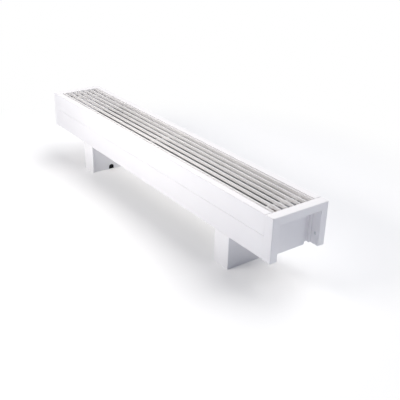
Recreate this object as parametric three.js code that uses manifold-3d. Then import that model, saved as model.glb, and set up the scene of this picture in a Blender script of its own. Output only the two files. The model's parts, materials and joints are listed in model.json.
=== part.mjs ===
// Low floor-standing convector: a white sheet-steel casing on two feet, with a lift-out linear
// grille on top, a finned water heat exchanger inside and its valves at the far end.
// Millimetres, +Z up, origin on the floor under the middle of the casing.
// +X runs along the casing to its near end, -Y is the front.

import * as THREE from 'three';
import { mergeVertices } from 'three/addons/utils/BufferGeometryUtils.js';
import Module from 'manifold-3d';

const wasm = await Module();
wasm.setup();

// ---------------------------------------------------------------- driving dimensions
const CASING_LENGTH = 1200;
const CASING_DEPTH = 180;
const CASING_HEIGHT = 120;
const FOOT_HEIGHT = 96;        // floor to the underside of the casing
const SHEET = 1.5;             // lacquered sheet steel
const GAP = 0.3;               // clearance between pieces that touch
const HOLE_SIDES = 10;         // sides of small holes and pins
const WIDE_HOLE_SIDES = 12;    // sides of wider holes and turned bodies

const RIM_WIDTH = 20;          // top rim in front of and behind the grille
const LIP_HEIGHT = 16.3;       // rim folded down beside the grille
const LEDGE_WIDTH = 12;        // shelf that carries the grille
const HEM_WIDTH = 14;          // bottom fold of the front and rear panels
const GROOVE_FROM_TOP = 58;    // pressed line along the panels
const GROOVE_HEIGHT = 3.2;
const GROOVE_DEPTH = 1.2;
const CLIP_SLOT_WIDTH = 5;     // windows in the lip, in line with the grille's crossbars
const CLIP_SLOT_HEIGHT = 4;
const CLIP_SLOT_DROP = 2;

const FRAME_FACE = 22;         // width of the end frame seen from the end
const FRAME_DEPTH = 28;        // its depth along the casing
const FRAME_RETURN = 26;       // depth of its inner fold
const CORNER_RELIEF = 2.4;     // open fold corner

const PLATE_LAND = 5;          // narrow land beside the stile
const PLATE_CHANNEL = 12;      // pressed channel between land and middle
const PLATE_CHANNEL_DEPTH = 9;
const PLATE_SHOULDER = 8;      // rounding where the middle turns into the channel
const PLATE_BEND = 0.5;        // inner radius of its other bends
const PLATE_FLANGE = 22;       // side fold inside the panels
const PLATE_TOP_DROP = 3;      // below the grille shelf

const BRACKET_REACH = 27;      // joint bracket behind the front or rear panel
const BRACKET_HEIGHT = 95;
const BRACKET_LEG = 18;
const BRACKET_DROP = 6;        // below the middle of the casing
const SCREW_FROM_END = 13;     // frame screws
const SCREW_FROM_TOP = 89;
const SCREW_SHANK_R = 1.9;
const SCREW_HEAD_R = 4.4;
const SCREW_HEAD_HEIGHT = 2.6;
const SCREW_LENGTH = 9;

const SLAT_EDGE = 6;           // least gap from the outer slats to the lips
const SLAT_PITCH = 20.7;
const SLAT_WIDTH = 3.5;
const SLAT_HEIGHT = 8;
const SLAT_END_GAP = 1.2;
const CROSSBAR_WIDTH = 8;      // bars under the slats that rest on the ledges
const CROSSBAR_OVERHANG = 2;   // beyond the outer slats
const CROSSBAR_FROM_END = 70;

const TUBE_R = 7.5;
const TUBE_BORE_R = 6.5;
const TUBE_SIDES = 10;
const COLLAR_SIDES = 6;
const RETURN_STEPS = 10;       // faces along the return bend
const TUBE_SPACING = 52;
const TUBE_FROM_TOP = 66;      // tube axis below the top of the casing
const FIN_PITCH = 12.6;
const FIN_THICKNESS = 0.6;
const FIN_DEPTH = 104;
const FIN_HEIGHT = 60;
const FIN_COLLAR = 2;          // wall of the collars between the fins
const VALVE_BAY = 200;         // from the far end of the casing to the fins
const RETURN_BAY = 104;        // from the fins to the near end
const TUBE_TAIL = 16;          // bare tube beyond the fins at both ends
const SUPPORT_OFFSET = 7;      // support plate beyond the fins
const SUPPORT_FOOT = 14;
const SUPPORT_WINDOW_HEIGHT = 24;
const SUPPORT_LEG = 28;
const SUPPORT_ABOVE = 36;      // plate above the tube axis

const VALVE_R = 12;
const VALVE_LENGTH = 40;
const VALVE_STUB_R = 10;
const VALVE_STUB_LENGTH = 20;  // inlet below the valve axis
const VALVE_COLLAR_R = 9;      // threaded collar inside the union nut
const VALVE_SHOULDER = 2;      // between the valve and its union nut
const NUT_R = 14;
const NUT_LENGTH = 16;
const NUT_OVERLAP = 7;         // tube inside the union nut
const KNOB_R = 17;
const KNOB_LENGTH = 30;
const KNOB_CHAMFER = 3;
const KNOB_SIDES = 20;
const KNOB_SKIRT = 4;          // overlap of the knob on the valve body
const CAP_WALL = 2;
const PIN_R = 2;
const PIN_LENGTH = 14;
const PIN_SHOWN = 6;
const SPINDLE_R = 3.5;
const SPINDLE_LENGTH = 12;
const SPINDLE_SHOWN = 5;
const CAP_R = 12.5;
const CAP_LENGTH = 16;
const CAP_SIDES = 16;
const VENT_R = 6;
const VENT_HEIGHT = 18;        // boss above the lockshield axis
const VENT_FROM_SHOULDER = 2;
const VENT_SCREW_R = 2.5;
const VENT_SCREW_LENGTH = 9;
const VENT_SCREW_SHOWN = 4;
const SCREW_SLOT = 1.2;        // driver slots of the lockshield spindle and the vent screw
const SCREW_SLOT_DEPTH = 1.6;
const TAIL_BEND = 18;          // bend radius of the pipe tails
const TAIL_STRAIGHT = 1;       // straight below the valve
const TAIL_END = 8;            // height of the open tail ends
const TAIL_STEPS = 24;

const FOOT_WIDTH = 60;
const FOOT_INSET = 1;          // cover behind the face of the panels
const FOOT_RETURN = 7;         // folded edge beside the side plate
const FOOT_LIP = 10;           // second fold that guides the side plate
const FOOT_LEFT_FROM_END = 227;   // closed side of the far foot
const FOOT_RIGHT_FROM_END = 157;  // closed side of the near foot
const SIDE_PLATE_INSET = 2.5;
const SIDE_PLATE_FLANGE = 8;
const SIDE_PLATE_FLOOR_GAP = 0.5;
const NOTCH_WIDTH = 19;        // pipe entry at the foot of the side plate
const NOTCH_HEIGHT = 17;
const NOTCH_Y = -17;
const ARCH_STEPS = 8;
const GROMMET_LIP = 3;
const GROMMET_SET_BACK = 0.7;
const BASE_THICKNESS = 4;
const BASE_CLEARANCE = 3.2;    // behind the side plate
const BASE_DEPTH = 150;
const POST_SHEET = 2.5;
const POST_WIDTH = 30;
const POST_DEPTH = 100;
const POST_FROM_SIDE = 5;
const TOP_PLATE = 3;
const TOP_PLATE_GAP = 1;           // between the top plate and the hems
const PIPE_HOLE_R = 10.5;
const PIPE_HOLE_FROM_POST = 21.2; // pipes inside the post
const FLOOR_HOLE_R = 4.5;
const FLOOR_HOLE_FROM_END = 13;    // from the end of the base
const BOLT_FROM_EDGE = 9.8;    // from the open edge of the base
const BOLT_FROM_END = 16.7;        // from the end of the top plate
const BOLT_R = 3;
const BOLT_HEAD_R = 5.8;
const BOLT_HEAD_HEIGHT = 4;
const BOLT_LENGTH = 10;
const BRIDGE_SHEET = 2;
const BRIDGE_FLANGE = 12;

// ---------------------------------------------------------------- derived places
const HALF_LENGTH = CASING_LENGTH / 2;
const HALF_DEPTH = CASING_DEPTH / 2;
const BOTTOM = FOOT_HEIGHT;
const TOP = FOOT_HEIGHT + CASING_HEIGHT;
const FRAME_BACK = HALF_LENGTH - FRAME_DEPTH;      // seam between panels and end frame
const OPENING_HALF = HALF_DEPTH - RIM_WIDTH;       // half depth of the grille opening
const LEDGE_Z = TOP - LIP_HEIGHT;
const GROOVE_Z = TOP - GROOVE_FROM_TOP;
const STILE_IN = HALF_DEPTH - FRAME_FACE;
const PLATE_X = HALF_LENGTH - FRAME_RETURN - GAP;  // face of the recessed end plate
const TUBE_Z = TOP - TUBE_FROM_TOP;
const TUBE_Y = TUBE_SPACING / 2;
const FIN_START = VALVE_BAY - HALF_LENGTH;
const FIN_ROOM = CASING_LENGTH - VALVE_BAY - RETURN_BAY - FIN_THICKNESS;
const FIN_COUNT = Math.floor(FIN_ROOM / FIN_PITCH) + 1;
const FIN_END = FIN_START + (FIN_COUNT - 1) * FIN_PITCH + FIN_THICKNESS;
const TUBE_FAR = FIN_START - TUBE_TAIL;
const TUBE_NEAR = FIN_END + TUBE_TAIL;
const NUT_NEAR = TUBE_FAR + NUT_OVERLAP;
const NUT_FAR = NUT_NEAR - NUT_LENGTH;
const VALVE_FRONT = NUT_FAR - VALVE_SHOULDER;
const VALVE_BACK = VALVE_FRONT - VALVE_LENGTH;
const VALVE_X = (VALVE_FRONT + VALVE_BACK) / 2;
const PANEL_INNER = HALF_DEPTH - SHEET;            // inner face of the front and rear panels
const GROOVE_STRETCH = Math.hypot(1, (2 * GROOVE_DEPTH) / GROOVE_HEIGHT);
const GROOVE_INNER = HALF_DEPTH - GROOVE_DEPTH - SHEET * GROOVE_STRETCH;  // ridge behind the groove
const HEM_EDGE = HALF_DEPTH - HEM_WIDTH - GAP;     // clear of the hems of both panels
const BRIDGE_Z = BOTTOM + SHEET + GAP;             // resting on the hems
const SCREW_X = HALF_LENGTH - SCREW_FROM_END;
const SCREW_Z = TOP - SCREW_FROM_TOP;
const SLAT_BOTTOM = TOP - SLAT_HEIGHT;
const SLAT_COUNT = Math.floor((2 * (OPENING_HALF - SLAT_EDGE) - SLAT_WIDTH) / SLAT_PITCH) + 1;
const CROSSBAR_END = HALF_LENGTH - CROSSBAR_FROM_END;
const CROSSBAR_PLACES = { far: -CROSSBAR_END, middle: 0, near: CROSSBAR_END };
const FOOT_LEFT_X = FOOT_LEFT_FROM_END - HALF_LENGTH;
const FOOT_RIGHT_X = HALF_LENGTH - FOOT_RIGHT_FROM_END;
const COVER_FACE = HALF_DEPTH - FOOT_INSET;
const COVER_EDGE = COVER_FACE - FOOT_RETURN;
const SIDE_PLATE_X = FOOT_WIDTH - SIDE_PLATE_INSET;
const BASE_X = SHEET + GAP;                        // from the closed side of the foot
const BASE_EDGE = SIDE_PLATE_X - SHEET - BASE_CLEARANCE;
const POST_X = BASE_X + POST_FROM_SIDE;
const PIPE_HOLE_X = POST_X + PIPE_HOLE_FROM_POST;
const BOLT_X = BASE_EDGE - BOLT_FROM_EDGE;
const TOP_PLATE_EDGE = HEM_EDGE - TOP_PLATE_GAP;
const BOLT_Y = TOP_PLATE_EDGE - BOLT_FROM_END;
const FLOOR_HOLE_Y = BASE_DEPTH / 2 - FLOOR_HOLE_FROM_END;
const VENT_X = VALVE_FRONT - VENT_R - VENT_FROM_SHOULDER;
const VENT_TOP = TUBE_Z + VENT_HEIGHT;

// ---------------------------------------------------------------- materials
const material = (color, roughness, metalness) =>
  new THREE.MeshStandardMaterial({ color, roughness, metalness });
const WHITE_LACQUER = material(0xf4f4f6, 0.38, 0);
const ALUMINIUM = material(0xc9ccd0, 0.35, 1);
const COPPER = material(0xb87345, 0.32, 1);
const BRASS = material(0xc9a968, 0.3, 1);
const NICKEL = material(0xb9bcc0, 0.28, 1);
const ZINC = material(0xa9adb2, 0.42, 1);
const WHITE_PLASTIC = material(0xeeeeec, 0.5, 0);
const BLACK_RUBBER = material(0x0b0b0c, 0.8, 0);

// ---------------------------------------------------------------- geometry helpers
function solidOf(geometry) {
  const bare = geometry.clone();
  bare.deleteAttribute('normal');
  bare.deleteAttribute('uv');
  const merged = mergeVertices(bare, 1e-4);
  const vertProperties = new Float32Array(merged.attributes.position.array);
  const triVerts = new Uint32Array(merged.index.array);
  return new wasm.Manifold(new wasm.Mesh({ numProp: 3, vertProperties, triVerts }));
}

function geometryOf(solid) {
  const mesh = solid.getMesh();
  const geometry = new THREE.BufferGeometry();
  geometry.setAttribute('position', new THREE.BufferAttribute(new Float32Array(mesh.vertProperties), 3));
  geometry.setIndex(new THREE.BufferAttribute(new Uint32Array(mesh.triVerts), 1));
  geometry.computeVertexNormals();
  return geometry;
}

function join(...geometries) {
  return geometryOf(geometries.map(solidOf).reduce((sum, solid) => sum.add(solid)));
}

function cut(geometry, ...tools) {
  return geometryOf(tools.map(solidOf).reduce((rest, tool) => rest.subtract(tool), solidOf(geometry)));
}

function box(x0, x1, y0, y1, z0, z1) {
  const geometry = new THREE.BoxGeometry(x1 - x0, y1 - y0, z1 - z0);
  return geometry.translate((x0 + x1) / 2, (y0 + y1) / 2, (z0 + z1) / 2);
}

const AXES = {
  x: [new THREE.Vector3(0, 1, 0), new THREE.Vector3(0, 0, 1), new THREE.Vector3(1, 0, 0)],
  y: [new THREE.Vector3(0, 0, 1), new THREE.Vector3(1, 0, 0), new THREE.Vector3(0, 1, 0)],
  z: [new THREE.Vector3(1, 0, 0), new THREE.Vector3(0, 1, 0), new THREE.Vector3(0, 0, 1)],
};

// A closed outline in the plane across an axis, carried from one place on that axis to another.
// The outline's two coordinates are y,z across x; z,x across y; and x,y across z.
function prism(axis, points, from, to) {
  const shape = new THREE.Shape(points.map(([u, v]) => new THREE.Vector2(u, v)));
  const geometry = new THREE.ExtrudeGeometry(shape, { depth: to - from, bevelEnabled: false });
  geometry.translate(0, 0, from);
  return geometry.applyMatrix4(new THREE.Matrix4().makeBasis(...AXES[axis]));
}

function ngon(radius, sides, u = 0, v = 0) {
  const points = [];
  for (let i = 0; i < sides; i += 1) {
    const angle = ((i + 0.5) / sides) * 2 * Math.PI;
    points.push([u + radius * Math.cos(angle), v + radius * Math.sin(angle)]);
  }
  return points;
}

function rod(axis, radius, sides, u, v, from, to) {
  return prism(axis, ngon(radius, sides, u, v), from, to);
}

// Round the corners of a path: radii[i] belongs to points[i], 0 keeps it sharp.
function rounded(points, radii, steps = 4) {
  const path = [];
  points.forEach((point, i) => {
    if (!radii[i]) {
      path.push(point);
      return;
    }
    const corner = new THREE.Vector2(...point);
    const before = new THREE.Vector2(...points[i - 1]).sub(corner).normalize();
    const after = new THREE.Vector2(...points[i + 1]).sub(corner).normalize();
    const half = Math.acos(before.dot(after)) / 2;
    const reach = radii[i] / Math.tan(half);
    const inward = before.clone().add(after).normalize();
    const centre = corner.clone().addScaledVector(inward, radii[i] / Math.sin(half));
    const start = corner.clone().addScaledVector(before, reach).sub(centre);
    const end = corner.clone().addScaledVector(after, reach).sub(centre);
    const sweep = Math.atan2(start.x * end.y - start.y * end.x, start.dot(end));
    for (let k = 0; k <= steps; k += 1) {
      const turned = start.clone().rotateAround(new THREE.Vector2(), (sweep * k) / steps);
      path.push([centre.x + turned.x, centre.y + turned.y]);
    }
  });
  return path;
}

// The outline of a folded sheet: a path along one face, and the other face a thickness to its left.
function folded(path, thickness = SHEET) {
  const points = path.map(([u, v]) => new THREE.Vector2(u, v));
  const offset = points.map((point, i) => {
    const before = i > 0 ? point.clone().sub(points[i - 1]).normalize() : null;
    const after = i < points.length - 1 ? points[i + 1].clone().sub(point).normalize() : null;
    const a = before ?? after;
    const b = after ?? before;
    const normal = new THREE.Vector2(-a.y - b.y, a.x + b.x).normalize();
    const stretch = normal.dot(new THREE.Vector2(-a.y, a.x));
    return point.clone().addScaledVector(normal, thickness / stretch);
  });
  return [...points, ...offset.reverse()].map((point) => [point.x, point.y]);
}

function tubeSection() {
  const ring = (radius) => ngon(radius, TUBE_SIDES).map(([u, v]) => new THREE.Vector2(u, v));
  const section = new THREE.Shape(ring(TUBE_R));
  section.holes.push(new THREE.Path(ring(TUBE_BORE_R)));
  return section;
}

function bentTube(curve, steps) {
  return new THREE.ExtrudeGeometry(tubeSection(), { steps, bevelEnabled: false, extrudePath: curve });
}

// ---------------------------------------------------------------- assembly
const heater = new THREE.Group();

function add(name, geometry, finish) {
  const mesh = new THREE.Mesh(geometry, finish);
  mesh.name = name;
  heater.add(mesh);
  return mesh;
}

// ---------------------------------------------------------------- casing
function panelOutline() {
  return folded([
    [-OPENING_HALF + LEDGE_WIDTH, LEDGE_Z],
    [-OPENING_HALF, LEDGE_Z],
    [-OPENING_HALF, TOP],
    [-HALF_DEPTH, TOP],
    [-HALF_DEPTH, GROOVE_Z + GROOVE_HEIGHT / 2],
    [-HALF_DEPTH + GROOVE_DEPTH, GROOVE_Z],
    [-HALF_DEPTH, GROOVE_Z - GROOVE_HEIGHT / 2],
    [-HALF_DEPTH, BOTTOM],
    [-HALF_DEPTH + HEM_WIDTH, BOTTOM],
  ]);
}

function panel() {
  const sheet = prism('x', panelOutline(), -FRAME_BACK + GAP, FRAME_BACK - GAP);
  const slotTop = TOP - SHEET - CLIP_SLOT_DROP;
  const slots = Object.values(CROSSBAR_PLACES).map((x) => box(
    x - CLIP_SLOT_WIDTH / 2, x + CLIP_SLOT_WIDTH / 2,
    -OPENING_HALF - SHEET - 1, -OPENING_HALF + 1,
    slotTop - CLIP_SLOT_HEIGHT, slotTop,
  ));
  return cut(sheet, ...slots);
}

// Inverted U of folded sheet, open towards the casing: face flange, outer wall and inner fold.
function invertedU(outer, inner, from, to, top, innerTop, bottom) {
  return prism('x', [
    [-outer, bottom], [-outer, top], [outer, top], [outer, bottom],
    [inner, bottom], [inner, innerTop], [-inner, innerTop], [-inner, bottom],
  ].reverse(), from, to);
}

function endFrame() {
  const innerTop = TOP - FRAME_FACE;
  const block = invertedU(HALF_DEPTH, STILE_IN, FRAME_BACK, HALF_LENGTH, TOP, innerTop, BOTTOM);
  const hollow = invertedU(
    HALF_DEPTH - SHEET, STILE_IN + SHEET,
    FRAME_BACK - 1, HALF_LENGTH - SHEET, TOP - SHEET, innerTop + SHEET, BOTTOM - 1,
  );
  const shortFold = box(
    FRAME_BACK - 1, HALF_LENGTH - FRAME_RETURN, -STILE_IN - SHEET, STILE_IN + SHEET,
    BOTTOM - 1, innerTop + SHEET,
  );
  const relief = box(
    HALF_LENGTH - CORNER_RELIEF, HALF_LENGTH + 1, -HALF_DEPTH - 1, -HALF_DEPTH + CORNER_RELIEF,
    TOP - CORNER_RELIEF, TOP + 1,
  );
  const lip = box(FRAME_BACK, FRAME_BACK + SHEET, -OPENING_HALF + GAP, OPENING_HALF - GAP, LEDGE_Z, TOP);
  const holes = [-1, 1].map((side) => rod(
    'y', SCREW_SHANK_R + GAP, HOLE_SIDES, SCREW_Z, SCREW_X,
    side * (STILE_IN + SHEET / 2) - SHEET, side * (STILE_IN + SHEET / 2) + SHEET,
  ));
  return join(cut(block, hollow, shortFold, relief, ...holes), lip);
}

function endPlate() {
  const channelOut = STILE_IN - PLATE_LAND;
  const channelIn = channelOut - PLATE_CHANNEL;
  const edge = PANEL_INNER - SHEET - 2 * GAP;
  const back = PLATE_X - PLATE_CHANNEL_DEPTH;
  const half = [
    [PLATE_X, channelOut],
    [back, channelOut],
    [back, channelIn],
    [PLATE_X, channelIn],
  ];
  const front = half.map(([x, y]) => [x, -y]);
  const path = [
    [PLATE_X - PLATE_FLANGE, -edge], [PLATE_X, -edge], ...front,
    ...half.reverse(), [PLATE_X, edge], [PLATE_X - PLATE_FLANGE, edge],
  ];
  const bend = SHEET + PLATE_BEND;
  const radii = [0, 0, bend, bend, 0, PLATE_SHOULDER, PLATE_SHOULDER, 0, bend, bend, 0, 0];
  const plate = prism('z', folded(rounded(path, radii)), BOTTOM, LEDGE_Z - PLATE_TOP_DROP);
  const hemRelief = [-1, 1].map((side) => box(
    PLATE_X - PLATE_FLANGE - 1, FRAME_BACK, Math.min(side * HEM_EDGE, side * HALF_DEPTH),
    Math.max(side * HEM_EDGE, side * HALF_DEPTH), BOTTOM - 1, BRIDGE_Z,
  ));
  return cut(plate, ...hemRelief);
}

// Bracket inside a stile: one leg runs on behind the panel, the other takes the frame screw.
function jointBracket() {
  const outer = -(PANEL_INNER - GAP);
  const inner = -(STILE_IN + SHEET + GAP);
  const end = HALF_LENGTH - SHEET - GAP;
  const middle = (BOTTOM + TOP) / 2 - BRACKET_DROP;
  const leg = folded([
    [FRAME_BACK - BRACKET_REACH, outer], [end, outer], [end, inner], [end - BRACKET_LEG, inner],
  ]);
  const bracket = prism('z', leg, middle - BRACKET_HEIGHT / 2, middle + BRACKET_HEIGHT / 2);
  const grooveRelief = box(
    FRAME_BACK - BRACKET_REACH - 1, FRAME_BACK, outer - 1, outer + 2 * SHEET,
    GROOVE_Z - GROOVE_HEIGHT, GROOVE_Z + GROOVE_HEIGHT,
  );
  const screwHole = rod(
    'y', SCREW_SHANK_R + GAP, HOLE_SIDES, SCREW_Z, SCREW_X, inner - 2 * SHEET, inner + SHEET,
  );
  return cut(bracket, grooveRelief, screwHole);
}

// Pan-head screw whose head bears on the inner fold of the front stile and points into the stile.
function frameScrew() {
  const face = -(STILE_IN - GAP);
  const profile = [
    [0, face + SCREW_HEAD_HEIGHT],
    [SCREW_HEAD_R * 0.7, face + SCREW_HEAD_HEIGHT * 0.85],
    [SCREW_HEAD_R, face + SCREW_HEAD_HEIGHT * 0.4],
    [SCREW_HEAD_R, face],
    [SCREW_SHANK_R, face],
    [SCREW_SHANK_R, face - SCREW_LENGTH],
    [0, face - SCREW_LENGTH],
  ].reverse().map(([r, y]) => new THREE.Vector2(r, y));
  return new THREE.LatheGeometry(profile, WIDE_HOLE_SIDES).translate(SCREW_X, 0, SCREW_Z);
}

// The same piece at the other end, turned half round the vertical axis.
const turned = (geometry) => geometry.clone().rotateZ(Math.PI);

// A mirror image across the plane y = 0, with its faces still pointing out.
function flippedY(geometry) {
  const flipped = (geometry.index ? geometry.toNonIndexed() : geometry.clone()).scale(1, -1, 1);
  const position = flipped.attributes.position;
  const second = new THREE.Vector3();
  const third = new THREE.Vector3();
  for (let i = 0; i < position.count; i += 3) {
    second.fromBufferAttribute(position, i + 1);
    third.fromBufferAttribute(position, i + 2);
    position.setXYZ(i + 1, third.x, third.y, third.z);
    position.setXYZ(i + 2, second.x, second.y, second.z);
  }
  return flipped;
}

function addCasing() {
  const front = panel();
  add('front_panel', front, WHITE_LACQUER);
  add('rear_panel', turned(front), WHITE_LACQUER);
  const frame = endFrame();
  add('end_frame_near', frame, WHITE_LACQUER);
  add('end_frame_far', turned(frame), WHITE_LACQUER);
  const plate = endPlate();
  add('end_plate_near', plate, WHITE_LACQUER);
  add('end_plate_far', turned(plate), WHITE_LACQUER);
  for (const [piece, nearFront] of [['joint_bracket', jointBracket()], ['frame_screw', frameScrew()]]) {
    const nearRear = flippedY(nearFront);
    add(`${piece}_near_front`, nearFront, ZINC);
    add(`${piece}_near_rear`, nearRear, ZINC);
    add(`${piece}_far_rear`, turned(nearFront), ZINC);
    add(`${piece}_far_front`, turned(nearRear), ZINC);
  }
}

// ---------------------------------------------------------------- grille
function addGrille() {
  const end = FRAME_BACK - SLAT_END_GAP;
  for (let i = 0; i < SLAT_COUNT; i += 1) {
    const y = (i - (SLAT_COUNT - 1) / 2) * SLAT_PITCH;
    const bar = box(-end, end, y - SLAT_WIDTH / 2, y + SLAT_WIDTH / 2, SLAT_BOTTOM, TOP);
    add(`grille_slat_${i + 1}`, bar, WHITE_LACQUER);
  }
  const half = CROSSBAR_WIDTH / 2;
  const reach = ((SLAT_COUNT - 1) / 2) * SLAT_PITCH + SLAT_WIDTH / 2 + CROSSBAR_OVERHANG;
  for (const [place, x] of Object.entries(CROSSBAR_PLACES)) {
    const crossbar = box(x - half, x + half, -reach, reach, LEDGE_Z + GAP, SLAT_BOTTOM - GAP);
    add(`grille_crossbar_${place}`, crossbar, WHITE_LACQUER);
  }
}

// ---------------------------------------------------------------- heat exchanger
const TUBE_ROW = [-TUBE_Y, TUBE_Y];

function finPack() {
  const fins = [];
  for (let i = 0; i < FIN_COUNT; i += 1) {
    const x = FIN_START + i * FIN_PITCH;
    fins.push(box(
      x, x + FIN_THICKNESS, -FIN_DEPTH / 2, FIN_DEPTH / 2, TUBE_Z - FIN_HEIGHT / 2, TUBE_Z + FIN_HEIGHT / 2,
    ));
  }
  const collars = TUBE_ROW.map((y) => rod(
    'x', TUBE_R + GAP + FIN_COLLAR, COLLAR_SIDES, y, TUBE_Z, FIN_START, FIN_END,
  ));
  const bores = TUBE_ROW.map((y) => rod(
    'x', TUBE_R + GAP, TUBE_SIDES, y, TUBE_Z, FIN_START - 1, FIN_END + 1,
  ));
  return cut(join(...fins, ...collars), ...bores);
}

function exchangerSupport(x, footDirection) {
  const half = GROOVE_INNER - GAP;
  const bottom = BRIDGE_Z;
  const top = TUBE_Z + SUPPORT_ABOVE;
  const outline = folded([
    [top, x], [bottom, x], [bottom, x + footDirection * SUPPORT_FOOT],
  ], -footDirection * SHEET);
  const plate = prism('y', outline, -half, half);
  const window = box(
    x - 2 * SUPPORT_FOOT, x + 2 * SUPPORT_FOOT, -half + SUPPORT_LEG, half - SUPPORT_LEG,
    bottom - 1, bottom + SUPPORT_WINDOW_HEIGHT,
  );
  const bores = TUBE_ROW.map((y) => rod(
    'x', TUBE_R + GAP, TUBE_SIDES, y, TUBE_Z, x - 2 * SHEET, x + 2 * SHEET,
  ));
  return cut(plate, window, ...bores);
}

class ReturnBend extends THREE.Curve {
  getPoint(t, target = new THREE.Vector3()) {
    const angle = (t - 0.5) * Math.PI;
    return target.set(TUBE_NEAR + GAP + TUBE_Y * Math.cos(angle), TUBE_Y * Math.sin(angle), TUBE_Z);
  }
}

function straightTube(y) {
  const run = { depth: TUBE_NEAR - TUBE_FAR, bevelEnabled: false };
  const geometry = new THREE.ExtrudeGeometry(tubeSection(), run);
  return geometry.applyMatrix4(new THREE.Matrix4().makeBasis(...AXES.x)).translate(TUBE_FAR, y, TUBE_Z);
}

function addExchanger() {
  add('fin_pack', finPack(), ALUMINIUM);
  add('tube_supply', straightTube(-TUBE_Y), COPPER);
  add('tube_return', straightTube(TUBE_Y), COPPER);
  add('return_bend', bentTube(new ReturnBend(), RETURN_STEPS), COPPER);
  add('exchanger_support_near', exchangerSupport(FIN_END + SUPPORT_OFFSET, -1), ZINC);
  add('exchanger_support_far', exchangerSupport(FIN_START - SUPPORT_OFFSET, 1), ZINC);
}

// ---------------------------------------------------------------- valves and pipe tails
// A turned piece whose axis lies along x: profile points are [x, radius].
function turnedAlongX(profile, y, sides) {
  const points = profile.map(([x, r]) => new THREE.Vector2(r, x));
  return new THREE.LatheGeometry(points, sides).rotateZ(-Math.PI / 2).translate(0, y, TUBE_Z);
}

// Angle valve: inlet from below, outlet towards the exchanger, spindle towards the far end.
function valveBody(y, spindleRadius, extra = []) {
  const body = rod('x', VALVE_R, WIDE_HOLE_SIDES, y, TUBE_Z, VALVE_BACK, VALVE_FRONT);
  const collar = rod('x', VALVE_COLLAR_R, WIDE_HOLE_SIDES, y, TUBE_Z, VALVE_FRONT - 1, TUBE_FAR - GAP);
  const inlet = rod('z', VALVE_STUB_R, WIDE_HOLE_SIDES, VALVE_X, y, TUBE_Z - VALVE_STUB_LENGTH, TUBE_Z);
  const outletBore = rod('x', TUBE_BORE_R, TUBE_SIDES, y, TUBE_Z, VALVE_X, TUBE_FAR);
  const inletBore = rod(
    'z', TUBE_BORE_R, TUBE_SIDES, VALVE_X, y, TUBE_Z - VALVE_STUB_LENGTH - 1, TUBE_Z,
  );
  const spindleEnd = VALVE_X - TUBE_BORE_R / 2;
  const spindleBore = rod('x', spindleRadius + GAP, HOLE_SIDES, y, TUBE_Z, VALVE_BACK - 1, spindleEnd);
  return cut(join(body, collar, inlet, ...extra), outletBore, inletBore, spindleBore);
}

function unionNut(y) {
  const nut = rod('x', NUT_R, 6, y, TUBE_Z, NUT_FAR, NUT_NEAR);
  const tubeBore = rod('x', TUBE_R + GAP, TUBE_SIDES, y, TUBE_Z, NUT_FAR - 1, NUT_NEAR + 1);
  const thread = rod('x', VALVE_COLLAR_R + GAP, WIDE_HOLE_SIDES, y, TUBE_Z, NUT_FAR - 1, TUBE_FAR);
  return cut(nut, tubeBore, thread);
}

// Hand knob: its skirt turns on the end of the valve body and its floor bears on the pin.
function valveKnob() {
  const rim = VALVE_BACK + KNOB_SKIRT;
  const back = rim - KNOB_LENGTH;
  const floor = VALVE_BACK - PIN_SHOWN - GAP;
  const bore = (VALVE_R + GAP) / Math.cos(Math.PI / KNOB_SIDES);
  return turnedAlongX([
    [back, 0], [back, KNOB_R - KNOB_CHAMFER], [back + KNOB_CHAMFER, KNOB_R], [rim, KNOB_R],
    [rim, bore], [floor, bore], [floor, 0],
  ], -TUBE_Y, KNOB_SIDES);
}

function lockshieldCap() {
  const rim = VALVE_BACK - GAP;
  const back = rim - CAP_LENGTH;
  return turnedAlongX([
    [back, 0], [back, CAP_R - CAP_WALL], [back + CAP_WALL, CAP_R], [rim, CAP_R],
    [rim, CAP_R - CAP_WALL], [back + CAP_WALL, CAP_R - CAP_WALL], [back + CAP_WALL, 0],
  ], TUBE_Y, CAP_SIDES);
}

function slottedSpindle() {
  const back = VALVE_BACK - SPINDLE_SHOWN;
  const shaft = rod('x', SPINDLE_R, HOLE_SIDES, TUBE_Y, TUBE_Z, back, back + SPINDLE_LENGTH);
  const half = SCREW_SLOT / 2;
  const reach = 2 * SPINDLE_R;
  const slot = box(
    back - 1, back + SCREW_SLOT_DEPTH, TUBE_Y - half, TUBE_Y + half, TUBE_Z - reach, TUBE_Z + reach,
  );
  return cut(shaft, slot);
}

// The lockshield valve's body also carries the air vent.
function lockshieldBody() {
  const boss = rod('z', VENT_R, HOLE_SIDES, VENT_X, TUBE_Y, TUBE_Z, VENT_TOP);
  const seat = VENT_TOP - VENT_SCREW_LENGTH;
  const bore = rod('z', VENT_SCREW_R + GAP, HOLE_SIDES, VENT_X, TUBE_Y, seat, VENT_TOP + 1);
  return cut(valveBody(TUBE_Y, SPINDLE_R, [boss]), bore);
}

function ventScrew() {
  const top = VENT_TOP + VENT_SCREW_SHOWN;
  const bottom = top - VENT_SCREW_LENGTH;
  const screw = rod('z', VENT_SCREW_R, HOLE_SIDES, VENT_X, TUBE_Y, bottom, top);
  const half = SCREW_SLOT / 2;
  const slot = box(
    VENT_X - VENT_R, VENT_X + VENT_R, TUBE_Y - half, TUBE_Y + half, top - SCREW_SLOT_DEPTH, top + 1,
  );
  return cut(screw, slot);
}

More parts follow.
